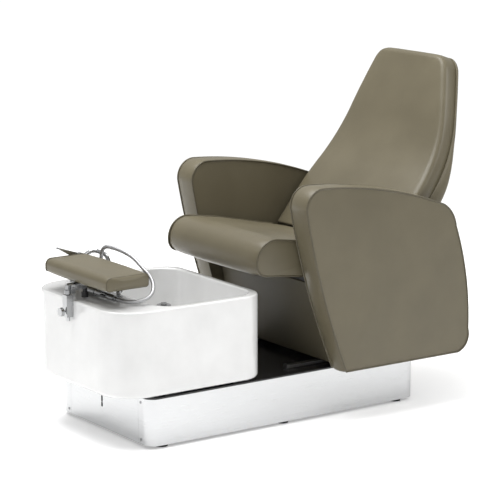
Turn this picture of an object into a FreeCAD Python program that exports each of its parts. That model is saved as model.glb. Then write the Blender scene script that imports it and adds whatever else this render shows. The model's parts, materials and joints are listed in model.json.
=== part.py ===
import FreeCAD, Part
import math
import os

import Sketcher

# Pedicure spa chair. Millimetres, +Z up, the floor at Z 0, the tub end towards -Y, the chair back towards +Y.
# The object is drawn with Y 0 at the plinth's front plate, and every placement shifts it by middle_y,
# so that the origin is on the floor below the middle of the whole object.

doc = FreeCAD.newDocument("PedicureChair")
sheet = doc.addObject("Spreadsheet::Sheet", "Sizes")

SIZES = {
    "middle_y": 534.6,
    # plinth
    "plinth_half": 252.5, "plinth_length": 989, "plinth_corner": 35, "skirt_low": 10, "skirt_high": 150,
    "skirt_wall": 2, "seam_half": 192, "top_plate_thick": 4, "foot_radius": 19, "foot_pad_height": 9,
    "foot_stem_radius": 5, "beam": 30, "beam_low": 30, "screw_radius": 4,
    # tub
    "tub_half": 259.5, "tub_front": -106, "tub_rear": 412, "tub_low": 160, "tub_rim": 416,
    "tub_front_corner": 112, "tub_rear_corner": 70,
    "basin_half": 237, "basin_front": 55, "basin_rear": 391, "basin_corner": 70, "basin_floor": 215,
    "basin_taper": 4, "rim_round": 6, "drain_y": 215, "drain_radius": 24,
    # standpipe
    "standpipe_radius": 14, "standpipe_cap_radius": 22, "standpipe_top": 362,
    # mixer
    "mixer_x": -213, "mixer_y": 40, "mixer_radius": 19, "mixer_high": 484, "hub_high": 502,
    # footrest
    "post_y": -118, "post_radius": 6, "post_low": 356, "post_high": 437, "head_y": -106,
    "tilt_z": 455, "tilt_pin_radius": 3, "pad_half": 184, "pad_front": -95, "pad_rear": 55, "pad_low": 466,
    "pad_board": 8, "pad_high": 512, "knob_y": -60,
    # chair
    "arm_inner": 256, "arm_thick": 98, "panel_low": 168, "cushion_half": 248,
    "plate_x": 176, "plate_thick": 8, "pivot_y": 840, "pivot_z": 430, "pin_radius": 6, "fit_gap": 0.06,
    "rail_high": 8, "block_low": 156, "block_high": 190,
    # back
    "back_y": 820, "back_z": 510, "lower_angle": 49, "lower_length": 262, "bend_radius": 500, "bend_angle": 22.5,
    "upper_length": 203, "cover_radius": 190,
    "cover_wall": 10, "cover_half": 268, "crank_length": 70,
    # shower hose
    "hose_radius": 5.7,
}
for row, (alias, value) in enumerate(SIZES.items(), start=1):
    sheet.set(f"A{row}", alias)
    sheet.set(f"B{row}", str(value))
    sheet.setAlias(f"B{row}", alias)
doc.recompute()

nodes = []


def size(alias):
    return float(getattr(sheet, alias))


def value(expression):
    """The number that a length means: a number, or the name of a size with an optional sign, sum or difference."""
    if not isinstance(expression, str):
        return float(expression)
    total = 0.0
    for word in expression.replace("-", "+-").split("+"):
        word = word.strip()
        if word:
            sign = -1 if word.startswith("-") else 1
            name = word.lstrip("- ")
            total += sign * (size(name) if name in SIZES else float(name))
    return total


def bound(expression):
    """The same length as an expression of the spreadsheet's cells."""
    if not isinstance(expression, str):
        return repr(float(expression))
    words = expression.replace("+", " + ").replace("-", " - ").split()
    return " ".join(f"Sizes.{word}" if word in SIZES else word for word in words)


def keep(obj, label):
    """Makes an object a sub-part: its label is the node's name, and its placement moves it to the object's origin."""
    if obj.TypeId in ("Part::Box", "Part::Cylinder"):
        obj = group(obj)
    obj.Label = label
    obj.setExpression("Placement.Base.y", "0 - Sizes.middle_y")
    nodes.append(obj)
    return obj


def span(low, high):
    """The length from one height to another: the lower one's signs are turned round."""
    turned = str(low).replace("+", "~").replace("-", "+").replace("~", "-")
    return f"{high} - {turned}"


def solid_box(x0, x1, y0, y1, z0, z1):
    box = doc.addObject("Part::Box", "Block")
    for axis, name, low, high in (("x", "Length", x0, x1), ("y", "Width", y0, y1), ("z", "Height", z0, z1)):
        box.setExpression(name, f"({bound(high)}) - ({bound(low)})")
        box.setExpression(f"Placement.Base.{axis}", bound(low))
    return box


TURNS = {
    "x": FreeCAD.Rotation(FreeCAD.Vector(0, 1, 0), 90),
    "y": FreeCAD.Rotation(FreeCAD.Vector(1, 0, 0), -90),
    "z": FreeCAD.Rotation(),
}


def solid_rod(direction, centre, radius, length):
    """A cylinder along an axis, from its centre's start point."""
    rod = doc.addObject("Part::Cylinder", "Rod")
    rod.Placement.Rotation = TURNS[direction]
    rod.setExpression("Radius", bound(radius))
    rod.setExpression("Height", bound(length))
    for axis, place in zip("xyz", centre):
        rod.setExpression(f"Placement.Base.{axis}", bound(place))
    return rod


def cut(base, *tools):
    for tool in tools:
        result = doc.addObject("Part::Cut", "Cut")
        result.Base, result.Tool = base, tool
        base = result
    return base


def fuse(*shapes):
    result = doc.addObject("Part::MultiFuse", "Union")
    result.Shapes = list(shapes)
    return result


def common(first, second):
    result = doc.addObject("Part::Common", "Common")
    result.Base, result.Tool = first, second
    return result


def group(*shapes):
    """Separate solids that share one node."""
    result = doc.addObject("Part::Compound", "Group")
    result.Links = list(shapes)
    return result


def origin_plane(body, role):
    return next(f for f in body.Origin.OriginFeatures if f.Role == role)


def new_sketch(body, role, offset=0):
    sketch = body.newObject("Sketcher::SketchObject", "Sketch")
    sketch.AttachmentSupport = (origin_plane(body, role), [""])
    sketch.MapMode = "FlatFace"
    sketch.setExpression("AttachmentOffset.Base.z", bound(offset))
    return sketch


def bind_last(sketch, expression):
    index = sketch.ConstraintCount - 1
    sketch.setExpression(f"Constraints[{index}]", bound(expression))


def polygon_sketch(body, role, corners, offset=0, arcs=()):
    """A closed outline of straight edges. arcs names the edges that are arcs: edge number to its bulge point."""
    sketch = new_sketch(body, role, offset)
    points = [FreeCAD.Vector(value(u), value(v), 0) for u, v in corners]
    bulges = dict(arcs)
    count = len(points)
    ends = []
    for i in range(count):
        start, end = points[i], points[(i + 1) % count]
        if i in bulges:
            middle = FreeCAD.Vector(value(bulges[i][0]), value(bulges[i][1]), 0)
            edge = Part.Arc(start, middle, end)
            sketch.addGeometry(edge, False)
            forward = (start - middle).cross(end - middle).z < 0
            ends.append((1, 2) if forward else (2, 1))
            sketch.addConstraint(Sketcher.Constraint("Radius", i, edge.Radius if hasattr(edge, "Radius")
                                                     else sketch.Geometry[i].Radius))
        else:
            sketch.addGeometry(Part.LineSegment(start, end), False)
            ends.append((1, 2))
    for i in range(count):
        after = (i + 1) % count
        sketch.addConstraint(Sketcher.Constraint("Coincident", i, ends[i][1], after, ends[after][0]))
    for i, (u, v) in enumerate(corners):
        sketch.addConstraint(Sketcher.Constraint("DistanceX", i, ends[i][0], points[i].x))
        bind_last(sketch, u)
        sketch.addConstraint(Sketcher.Constraint("DistanceY", i, ends[i][0], points[i].y))
        bind_last(sketch, v)
    return sketch


def pad(body, sketch, length, midplane=False, reverse=False):
    feature = body.newObject("PartDesign::Pad", "Pad")
    feature.Profile = sketch
    feature.setExpression("Length", bound(length))
    feature.Midplane = midplane
    feature.Reversed = reverse
    body.Tip = feature
    return feature


def pocket(body, sketch, length, reverse=False, taper=0):
    before = body.Shape.Volume
    feature = body.newObject("PartDesign::Pocket", "Pocket")
    feature.Profile = sketch
    feature.setExpression("Length", bound(length))
    feature.Reversed = reverse
    if taper:
        feature.setExpression("TaperAngle", bound(taper))
    body.Tip = feature
    doc.recompute()
    if body.Shape.Volume > before - 1:
        raise RuntimeError(f"{body.Name}: a pocket cut nothing")
    return feature


def edges_where(shape, test):
    """The names of the edges whose middle point and direction pass the test."""
    names = []
    for i, edge in enumerate(shape.Edges, start=1):
        first, last = edge.ParameterRange
        middle = edge.valueAt((first + last) / 2)
        if test(middle, edge):
            names.append(f"Edge{i}")
    return names


def along(edge, axis):
    first, last = edge.Vertexes[0].Point, edge.Vertexes[-1].Point
    span = last - first
    return len(edge.Vertexes) == 2 and span.Length > 0 and abs(getattr(span, axis)) > 0.999 * span.Length


def fillet(body, radius, test):
    doc.recompute()
    base = body.Tip
    names = edges_where(base.Shape, test)
    feature = body.newObject("PartDesign::Fillet", "Fillet")
    feature.Base = (base, names)
    feature.setExpression("Radius", bound(radius))
    body.Tip = feature
    doc.recompute()
    return feature


def new_body():
    return doc.addObject("PartDesign::Body", "Body")


def upright_block(x0, x1, y0, y1, z0, z1, radius):
    """A block whose four upright corners are rounded."""
    body = new_body()
    sketch = polygon_sketch(body, "XY_Plane", [(x0, y0), (x1, y0), (x1, y1), (x0, y1)], offset=z0)
    pad(body, sketch, span(z0, z1))
    fillet(body, radius, lambda middle, edge: along(edge, "z"))
    return body


def side_plate(corners, offset, thickness, arcs=(), reverse=False, midplane=False):
    """A plate drawn in the Y-Z plane and made thick along X."""
    body = new_body()
    pad(body, polygon_sketch(body, "YZ_Plane", corners, offset, arcs), thickness, midplane, reverse)
    return body


def both_sides(make):
    """Two mirror-image solids, made by one function of the side, 1 or -1."""
    return group(make(1), make(-1))


# ---------------------------------------------------------------- plinth

plinth_block = upright_block("-plinth_half", "plinth_half", 0, "plinth_length", "skirt_low", "skirt_high",
                             "plinth_corner")
plinth_hollow = upright_block("-plinth_half + skirt_wall", "plinth_half - skirt_wall", "skirt_wall",
                              "plinth_length - skirt_wall", 5, 160, "plinth_corner - skirt_wall")
for side, label in ((1, "skirt_side_left"), (-1, "skirt_side_right")):
    ring = cut(plinth_block, plinth_hollow)
    low, high = ("seam_half", 300) if side > 0 else (-300, "-seam_half")
    keep(common(ring, solid_box(low, high, -5, 1000, 0, 200)), label)

front_plate = solid_box("-seam_half + 0.4", "seam_half - 0.4", 0, "skirt_wall", "skirt_low", "skirt_high")
slots = [solid_box(-12.5, -9.5, -1, 5, 91, 107), solid_box(-12.5, -9.5, -1, 5, 77, 88)]
keep(cut(front_plate, *slots), "skirt_front_plate")
inlet_hole = solid_box(112, 140, 980, 995, 60, 82)
rear_plate = solid_box("-seam_half + 0.4", "seam_half - 0.4", "plinth_length - skirt_wall", "plinth_length",
                       "skirt_low", "skirt_high")
keep(cut(rear_plate, inlet_hole), "skirt_rear_plate")

FOOT_ROWS = (60, 495, 930)
feet = []
for side in (1, -1):
    for y in FOOT_ROWS:
        x = 222 * side
        foot_pad = solid_rod("z", (x, y, 0), "foot_radius", "foot_pad_height")
        stem = solid_rod("z", (x, y, "foot_pad_height"), "foot_stem_radius", "beam_low - foot_pad_height")
        feet.append(fuse(foot_pad, stem))
keep(group(*feet), "levelling_feet")

beams = [solid_box(x, x + 60, 40, 949, "beam_low", "beam_low + beam") for x in (190, -250)]
posts = [solid_box(x, x + 30, y, y + 30, "beam_low + beam", "skirt_high - 0.2")
         for x in (212, -242) for y in (60, 480, 895)]
keep(group(*beams, *posts), "chassis_side_beams")
crossings = [solid_box(-189.5, 189.5, y, y + 30, "beam_low", "beam_low + beam") for y in (40, 480, 919)]
keep(group(*crossings), "chassis_cross_beams")

screws = []
for x in (-205, 205):
    for y, depth in ((-1.2, 1.2), (989, 1.2)):
        for z in (24, 136):
            screws.append(solid_rod("y", (x, y, z), "screw_radius", depth))
keep(group(*screws), "skirt_screws")

top_plate = upright_block("-plinth_half + 1", "plinth_half - 1", 1, "plinth_length - 1", "skirt_high",
                          "skirt_high + top_plate_thick", "plinth_corner - 1")
keep(cut(top_plate, solid_box(-238, -180, 15, 75, 140, 160), solid_box(-60, 60, 170, 260, 140, 160)), "top_plate")

RAIL_START, RAIL_END = 545, 975
rails = [solid_box(x, x + 20, RAIL_START, RAIL_END, 154, "154 + rail_high") for x in (170, -190)]
stops = [solid_box(x, x + 20, y, y + 8, 154, 165) for x in (170, -190) for y in (536.5, 975.5)]
keep(group(*rails, *stops), "slide_rails")

drive_tube = cut(fuse(solid_rod("y", (0, 790, 176), 16, 160), solid_box(-28, 28, 880, 950, 154, 200)),
                 solid_rod("y", (0, 780, 176), 9.06, 180))
keep(drive_tube, "slide_drive")
keep(upright_block(60, 170, 800, 960, 60, 120, 8), "control_box")
keep(fuse(solid_box(112.5, 139.5, 970, 989.5, 60.5, 81.5), solid_box(106, 146, 989, 992, 54, 88)), "mains_inlet")

# ---------------------------------------------------------------- tub


def tub_outline(body, z, half, front, rear, front_corner, rear_corner):
    """A rounded oblong: large corners at the front, smaller ones at the rear."""
    sketch = new_sketch(body, "XY_Plane", z)
    w, y0, y1 = value(half), value(front), value(rear)
    big, small = value(front_corner), value(rear_corner)
    point = FreeCAD.Vector
    diagonal = math.sqrt(0.5)
    lines = [((-w + big, y0), (w - big, y0)), ((w, y0 + big), (w, y1 - small)), ((w - small, y1), (-w + small, y1)),
             ((-w, y1 - small), (-w, y0 + big))]
    corners = [((w - big, y0 + big), big, (1, -1)), ((w - small, y1 - small), small, (1, 1)),
               ((-w + small, y1 - small), small, (-1, 1)), ((-w + big, y0 + big), big, (-1, -1))]
    for i in range(4):
        (ax, ay), (bx, by) = lines[i]
        sketch.addGeometry(Part.LineSegment(point(ax, ay, 0), point(bx, by, 0)), False)
        (cx, cy), r, (sx, sy) = corners[i]
        (nx, ny) = lines[(i + 1) % 4][0]
        middle = point(cx + sx * r * diagonal, cy + sy * r * diagonal, 0)
        sketch.addGeometry(Part.Arc(point(bx, by, 0), middle, point(nx, ny, 0)), False)
    for i in range(8):
        sketch.addConstraint(Sketcher.Constraint("Tangent", i, 2, (i + 1) % 8, 1))
    for i, kind in ((0, "Horizontal"), (2, "Vertical"), (4, "Horizontal"), (6, "Vertical")):
        sketch.addConstraint(Sketcher.Constraint(kind, i))
    for line, kind, number, expression in ((2, "DistanceX", w, half), (6, "DistanceX", -w, None),
                                           (0, "DistanceY", y0, front), (4, "DistanceY", y1, rear)):
        sketch.addConstraint(Sketcher.Constraint(kind, line, 1, number))
        bind_last(sketch, expression if expression is not None else span(half, 0))
    for arc, r, expression in ((1, big, front_corner), (3, small, rear_corner)):
        sketch.addConstraint(Sketcher.Constraint("Radius", arc, r))
        bind_last(sketch, expression)
    sketch.addConstraint(Sketcher.Constraint("Equal", 1, 7))
    sketch.addConstraint(Sketcher.Constraint("Equal", 3, 5))
    return sketch


tub = new_body()
tub_pad = pad(tub, tub_outline(tub, "tub_low", "tub_half", "tub_front", "tub_rear", "tub_front_corner",
                               "tub_rear_corner"), "tub_rim - tub_low")
doc.recompute()
pocket(tub, tub_outline(tub, "tub_rim", "basin_half", "basin_front", "basin_rear", "basin_corner", "basin_corner"),
       "tub_rim - basin_floor", taper="-basin_taper")
fillet(tub, 24, lambda middle, edge: abs(middle.z - size("basin_floor")) < 0.5 and not along(edge, "z"))
fillet(tub, "rim_round", lambda middle, edge: abs(middle.z - size("tub_rim")) < 0.1)
fillet(tub, 12, lambda middle, edge: abs(middle.z - size("tub_low")) < 0.1)
pocket(tub, tub_outline(tub, "tub_low", "tub_half - 9", "tub_front + 9", 34, "tub_front_corner - 9", 6), 246,
       reverse=True)
pocket(tub, tub_outline(tub, "tub_low", 225, 42, 380, 40, 40), 38, reverse=True)
tub_holes = [solid_rod("z", (0, "drain_y", 150), "drain_radius - 4", 100),
             solid_rod("z", ("mixer_x", "mixer_y", 150), 12, 290), solid_rod("z", (50, 26, 380), 7, 60)]
keep(cut(tub, *tub_holes), "tub_shell")

pads = [solid_box(x, x + 16, y, y + 60, 154, "tub_low") for x in (-244, 228) for y in (60, 300)]
keep(group(*pads), "tub_rubber_pads")

waste = fuse(solid_rod("z", (0, "drain_y", "basin_floor"), "drain_radius + 8", 3),
             solid_rod("z", (0, "drain_y", 176), "drain_radius - 4.3", 42))
waste_bore = solid_rod("z", (0, "drain_y", 170), 12, 60)
waste_seat = solid_rod("z", (0, "drain_y", 206), "standpipe_radius + fit_gap", 20)
keep(cut(waste, waste_bore, waste_seat), "waste_fitting")
trap = cut(solid_rod("z", (0, "drain_y", 92), 30, 84), solid_rod("z", (0, "drain_y", 100), 26, 68),
           solid_rod("z", (0, "drain_y", 160), 12, 20))
keep(trap, "waste_trap")
keep(cut(solid_rod("y", (0, 245, 126), 16, 560), solid_rod("y", (0, 240, 126), 13, 570)), "waste_pipe")

standpipe = cut(solid_rod("z", (0, "drain_y", 209), "standpipe_radius", "standpipe_top - 215"),
                solid_rod("z", (0, "drain_y", 200), "standpipe_radius - 2.5", 152))
keep(standpipe, "standpipe")
cap = fuse(solid_rod("z", (0, "drain_y", "standpipe_top - 6"), "standpipe_cap_radius", 4),
           solid_rod("z", (0, "drain_y", "standpipe_top - 2"), 9, 6))
keep(cap, "standpipe_cap")

# ---------------------------------------------------------------- mixer, on the far front corner of the deck

mixer = fuse(solid_rod("z", ("mixer_x", "mixer_y", "tub_rim"), "mixer_radius + 4", 4),
             solid_rod("z", ("mixer_x", "mixer_y", 420), "mixer_radius", "mixer_high - 420"),
             solid_rod("z", ("mixer_x", "mixer_y", 375), 11.5, 42))
keep(cut(mixer, solid_rod("z", ("mixer_x", "mixer_y", 440), 12, 60)), "mixer_body")
keep(solid_rod("z", ("mixer_x", "mixer_y", 440.5), 11.7, "mixer_high - 440.2"), "mixer_cartridge")
hub = solid_rod("z", ("mixer_x", "mixer_y", "mixer_high + 0.5"), "mixer_radius", "hub_high - mixer_high - 0.5")
slot = solid_box("mixer_x - 12", "mixer_x + 12", "mixer_y - 25", "mixer_y + 14", 487.5, 510)
hub_pin = solid_rod("x", ("mixer_x - 15", "mixer_y", 497), 2, 30)
keep(fuse(cut(hub, slot), hub_pin), "mixer_hub")
lever = side_plate([("mixer_y + 10", 492), ("mixer_y + 8", 503), ("mixer_y - 20", 512), ("mixer_y - 64", 527),
                    ("mixer_y - 66", 523), ("mixer_y - 26", 498), ("mixer_y - 8", 492)], "mixer_x", 22, midplane=True)
keep(cut(lever, solid_rod("x", ("mixer_x - 20", "mixer_y", 497), "2 + fit_gap", 40)), "mixer_lever")

# The spout rises from the body and bends over towards the basin.
SPOUT_HEADING = math.atan2(0.893, 0.45)
SPOUT_RADIUS = 6.5
spout_points = [(17, 470), (24, 497), (50, 512), (88, 497), (98, 470)]


def round_route(points, share=0.45):
    """Straight runs joined by tangent arcs, as large as the two runs allow: the edges, their length and radii."""
    edges, length, radii = [], 0.0, []
    start = points[0]
    for before, corner, after in zip(points, points[1:], points[2:]):
        back, ahead = before - corner, after - corner
        reach = share * min(back.Length, ahead.Length)
        turn = math.pi - back.getAngle(ahead)
        radius = reach / math.tan(turn / 2)
        first = corner + back.normalize() * reach
        last = corner + ahead.normalize() * reach
        inward = ((first + last) * 0.5 - corner).normalize()
        middle = corner + inward * (radius / math.cos(turn / 2) - radius)
        edges.append(Part.LineSegment(start, first).toShape())
        edges.append(Part.Arc(first, middle, last).toShape())
        length += (first - start).Length + radius * turn
        radii.append(radius)
        start = last
    edges.append(Part.LineSegment(start, points[-1]).toShape())
    return edges, length + (points[-1] - start).Length, radii


def tube_along(points, radius):
    """A round tube along a route, checked against its section times its length."""
    edges, length, radii = round_route(points)
    path = Part.Wire(edges)
    heading = points[1] - points[0]
    ring = Part.Wire([Part.Circle(points[0], heading, radius).toShape()])
    tube = path.makePipeShell([ring], True, False)
    wanted = math.pi * radius ** 2 * length
    if abs(tube.Volume / wanted - 1) > 0.01:
        raise RuntimeError(f"a tube's volume is {tube.Volume:.0f}, and its section times its length is {wanted:.0f}")
    return tube, length, radii


def route_solid(points, radius):
    feature = doc.addObject("Part::Feature", "Tube")
    feature.Shape, length, radii = tube_along([FreeCAD.Vector(*p) for p in points], radius)
    print("tube length", round(length, 1), "radii", [round(r, 1) for r in radii])
    return feature


mixer_x, mixer_y = size("mixer_x"), size("mixer_y")
spout_route = [(mixer_x + r * math.cos(SPOUT_HEADING), mixer_y + r * math.sin(SPOUT_HEADING), z)
               for r, z in spout_points]
spout_route[0] = (mixer_x, mixer_y, 466)
spout_tube = route_solid(spout_route, SPOUT_RADIUS)
body_space = fuse(solid_rod("z", ("mixer_x", "mixer_y", 430), "mixer_radius", "mixer_high - 430"),
                  solid_rod("z", ("mixer_x", "mixer_y", "mixer_high - 1"), "mixer_radius + 0.6", 40))
keep(cut(spout_tube, body_space), "mixer_spout")

supply = [solid_rod("z", (f"mixer_x + {dx}" if dx > 0 else f"mixer_x - {-dx}", "mixer_y", 100), 4.5, 275)
          for dx in (-6, 6)]
keep(group(*supply), "supply_pipes")

# ---------------------------------------------------------------- hand shower and its hose

OUTLET = FreeCAD.Vector(50.05, 26.09, 430.98)
OUTLET_HEADING = FreeCAD.Vector(-0.504, 0.826, 0.252)
outlet_ball = doc.addObject("Part::Sphere", "Ball")
outlet_ball.Radius = 8
outlet_ball.Placement.Base = OUTLET
outlet_mouth = doc.addObject("Part::Cylinder", "Mouth")
outlet_mouth.Radius = 6.5
outlet_mouth.Height = 12
outlet_mouth.Placement = FreeCAD.Placement(OUTLET, FreeCAD.Rotation(FreeCAD.Vector(0, 0, 1), OUTLET_HEADING))
outlet = fuse(solid_rod("z", (50, 26, "tub_rim"), 11, 4), solid_rod("z", (50, 26, 380), 6.8, 50), outlet_ball,
              outlet_mouth)
keep(outlet, "hose_outlet")
hand_shower = fuse(solid_rod("x", (-66, -18, 428), 12, 62), solid_rod("x", (-5, -18, 428), 10, 105),
                   solid_rod("x", (100, -18, 428), 7, 14))
keep(hand_shower, "hand_shower")

HOSE_ROUTE = [
    (44, 36, 434), (26, 65.5, 443), (-14, 88, 443), (-62, 94, 436), (-110, 92, 433), (-142, 88, 462),
    (-144, 82, 505), (-115, 78, 537), (-60, 76, 541), (-2, 74, 540), (56, 73, 533), (104, 72, 513),
    (142.5, 86.5, 480), (176, 67, 448), (186, 33.5, 433.5), (175, 2, 428), (148, -18, 428), (114, -18, 428),
]
hose = route_solid(HOSE_ROUTE, size("hose_radius"))
keep(hose, "shower_hose")

# ---------------------------------------------------------------- footrest

clamp = fuse(solid_box(-12, 12, -129, -106, 402, 434), solid_box(-11, 11, -128, -107, 368, 402))
clamp = cut(clamp, solid_rod("z", (0, "post_y", 360), "post_radius + 0.05", 90),
            solid_rod("y", (0, -135, 385), "3 + fit_gap", 15))
keep(clamp, "footrest_clamp")
keep(fuse(solid_rod("y", (0, -146.5, 385), 13, 10), solid_rod("y", (0, -137, 385), 3, 12.4)), "clamp_thumb_screw")
keep(solid_rod("z", (0, "post_y", "post_low"), "post_radius", "post_high - post_low"), "footrest_post")

head = fuse(solid_rod("z", (0, "post_y", "post_high"), 10, 11), solid_box(-8, 8, -122, -96, "post_high", 463))
keep(cut(head, solid_rod("x", (-20, "head_y", "tilt_z"), "tilt_pin_radius + 0.05", 40)), "footrest_head")
keep(solid_rod("x", (-17, "head_y", "tilt_z"), "tilt_pin_radius", 34), "tilt_pin")
cheeks = [solid_box(x, x + 4, -114, -60, 449, 464.5) for x in (-15, 11)]
bracket = fuse(solid_box(-15, 15, -92, 20, 461, 465.9), *cheeks)
bracket = cut(bracket, solid_rod("x", (-20, "head_y", "tilt_z"), "tilt_pin_radius + fit_gap", 40),
              solid_rod("z", (0, "knob_y", 455), 2.6, 20))
keep(bracket, "footrest_bracket")
bushes = [cut(solid_rod("x", (x, "head_y", "tilt_z"), 6, 2.4), solid_rod("x", (x - 1, "head_y", "tilt_z"), "tilt_pin_radius + 0.05", 6))
          for x in (-10.7, 8.3)]
keep(group(*bushes), "tilt_bushes")
knob = fuse(solid_rod("z", (0, "knob_y", 420), 10.5, 15), solid_rod("z", (0, "knob_y", 435), 7, 12),
            solid_rod("z", (0, "knob_y", 447), 2.5, 18.5))
keep(knob, "footrest_lock_knob")

board = upright_block("-pad_half + 6", "pad_half - 6", "pad_front + 6", "pad_rear - 6", "pad_low",
                      "pad_low + pad_board", 12)
keep(board, "footrest_board")
cushion = upright_block("-pad_half", "pad_half", "pad_front", "pad_rear", "pad_low + pad_board + 0.2", "pad_high", 20)
fillet(cushion, 14, lambda middle, edge: abs(middle.z - size("pad_high")) < 0.1)
keep(cushion, "footrest_cushion")

# ---------------------------------------------------------------- chair, on the slide

blocks = []
for side in (1, -1):
    for y in (700, 860):
        x = 160 if side > 0 else -200
        block = solid_box(x, x + 40, y, y + 60, "block_low", "block_high")
        groove = solid_box(x + 9.7, x + 30.3, y - 1, y + 61, 150, 162.4)
        blocks.append(cut(block, groove))
keep(group(*blocks), "slide_blocks")

EAR_RADIUS = 24
plate_corners = [(690, 190), (950, 190), (930, 320), (863, 436), (817, 436), (797, 398.6), (612, 419.1), (619, 395),
                 (690, 340)]


def frame_plate(side):
    start = "plate_x" if side > 0 else "-plate_x - plate_thick"
    plate = side_plate(plate_corners, start, "plate_thick", arcs={3: (840, 454)})
    return cut(plate, solid_rod("x", (f"{start} - 5", "pivot_y", "pivot_z"), "pin_radius + fit_gap", 20))


# Between the arms: parallel beside the cushion's nose, then widening steadily towards the rear.
FLARE_START, FLARE = 500, 0.078


def arm_gap(y):
    """Distance from the middle plane to an arm's inner face, at a distance back from the plinth's front."""
    return size("arm_inner") + FLARE * max(0, y - FLARE_START)


def flared_block(half, y0, y1, z0, z1, side=0):
    """A block whose plan widens as the space between the arms does; side 1 or -1 gives one half of it."""
    body = new_body()
    wide = half + FLARE * (y1 - FLARE_START)
    right = [(half, y0), (half, FLARE_START), (wide, y1)]
    left = [(-x, y) for x, y in reversed(right)]
    if side > 0:
        left = [(0, y1), (0, y0)]
    elif side < 0:
        right = [(0, y0), (0, y1)]
    pad(body, polygon_sketch(body, "XY_Plane", right + left, z0), z1 - z0)
    return body


keep(both_sides(frame_plate), "seat_frame_plates")
bars = [solid_box(-176, 176, y, y + 30, z, z + 30) for y, z in ((695, 205), (640, 376), (905, 220))]


def bracket(side, y, z):
    """A steel block from a seat frame plate out to the arm."""
    low, high = (184, arm_gap(y) - 0.2) if side > 0 else (-arm_gap(y) + 0.2, -184)
    return solid_box(low, high, y, y + 30, z, z + 30)


brackets = [bracket(side, y, z) for side in (1, -1) for y, z in ((700, 240), (880, 240), (700, 350))]
keep(group(*bars, *brackets), "seat_frame_crossbars")
drive_rod = fuse(solid_rod("y", (0, 700, 176), 9, 200), solid_box(-12, 12, 695, 712, 166, 205))
keep(drive_rod, "slide_drive_rod")

# The side arm's outline: a leaning front edge, a long arched top, a round rear corner and a slightly bowed rear.
ARM_CORNERS = [(641, 157), (490, 664), (556, 734), (1014, 640), (1066, 564), (1121, 232), (1079, 157)]
ARM_BULGES = {0: (547, 425), 1: (508, 716), 2: (774, 709), 3: (1044, 615), 4: (1109, 400), 5: (1111, 177)}
for side, label in ((1, "arm_left"), (-1, "arm_right")):
    arm = side_plate(ARM_CORNERS, "arm_inner" if side > 0 else "-arm_inner", "arm_thick", arcs=ARM_BULGES,
                     reverse=side < 0)
    keep(cut(arm, flared_block(size("arm_inner"), 400, 1150, 100, 800, side)), label)

# The panel under the seat leans as the arms' front edges do.
kick_corners = [(653, "panel_low"), (592.5, 419.4), (608.5, 419.4), (669, "panel_low")]
keep(side_plate(kick_corners, 0, 2 * arm_gap(580), midplane=True), "kick_panel")
rear_half = arm_gap(1064) - 0.5
keep(upright_block(-rear_half, rear_half, 1064, 1080, "panel_low", 450, 4), "rear_panel")
seat_board = side_plate([(592, 421.5), (795, 399), (795, 415), (592, 437.5)], 0, 484, midplane=True)
keep(seat_board, "seat_board")

seat = new_body()
seat_sketch = polygon_sketch(seat, "YZ_Plane", [(382, 461), (803, 414.4), (816, 507), (560, 563), (382, 589)])
pad(seat, seat_sketch, 560, midplane=True)
fillet(seat, 72, lambda middle, edge: along(edge, "x") and middle.y < 400 and middle.z > 520)
fillet(seat, 44, lambda middle, edge: along(edge, "x") and middle.y < 400 and middle.z < 500)
keep(common(seat, flared_block(size("cushion_half"), 370, 820, 400, 620)), "seat_cushion")

# ---------------------------------------------------------------- back

heading = math.radians(size("lower_angle"))
FORWARD = (math.cos(heading), math.sin(heading))
NORMAL = (math.sin(heading), -math.cos(heading))
bend = math.radians(size("bend_angle"))
upper = heading + bend


def back_point(along_lower, depth):
    """A point of the back's straight lower stretch: the distance up it, and the depth behind its front face."""
    return (size("back_y") + along_lower * FORWARD[0] + depth * NORMAL[0],
            size("back_z") + along_lower * FORWARD[1] + depth * NORMAL[1])


def shell_point(along_front, depth=65):
    """A point behind the bend: the distance up the front face, and the depth behind it."""
    turned = min((along_front - size("lower_length")) / size("bend_radius"), bend)
    centre = back_point(size("lower_length"), -size("bend_radius"))
    angle = heading - math.pi / 2 + turned
    reach = size("bend_radius") + depth
    return centre[0] + reach * math.cos(angle), centre[1] + reach * math.sin(angle)


def back_band(low, near, deep, inset):
    """A layer of the back between two depths, from a distance up the lower stretch to the top."""
    centre_y = back_point(size("lower_length"), -size("bend_radius"))

    def polar(depth, share):
        angle = heading - math.pi / 2 + bend * share
        reach = size("bend_radius") + depth
        return centre_y[0] + reach * math.cos(angle), centre_y[1] + reach * math.sin(angle)

    def top(depth):
        y, z = polar(depth, 1)
        return y + size("upper_length") * math.cos(upper), z + size("upper_length") * math.sin(upper)

    corners = [back_point(low, near), back_point(size("lower_length"), near), polar(near, 1), top(near), top(deep),
               polar(deep, 1), back_point(size("lower_length"), deep), back_point(low, deep)]
    band = side_plate(corners, 0, 600, arcs={1: polar(near, 0.5), 5: polar(deep, 0.5)}, midplane=True)
    return common(band, back_outline(inset))


def back_outline(inset):
    """The back seen from the front: it fills the flared space between the arms, then bows in to a narrow top."""
    body = new_body()
    right = [(275, 440), (275, 510), (287, 650), (173, 1046), (147, 1069)]
    right = [(x - inset, z) for x, z in right]
    left = [(-x, z) for x, z in reversed(right)]
    bulges = {2: (243 - inset, 850), 3: (164 - inset, 1062), 4: (0, 1074), 5: (-164 + inset, 1062),
              6: (-243 + inset, 850)}
    pad(body, polygon_sketch(body, "XZ_Plane", right + left, -1300, arcs=bulges), 600, reverse=False)
    return body


keep(back_band(0, 0, 46, 0), "back_cushion")
keep(back_band(6, 46.2, 56, 8), "back_board")


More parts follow.
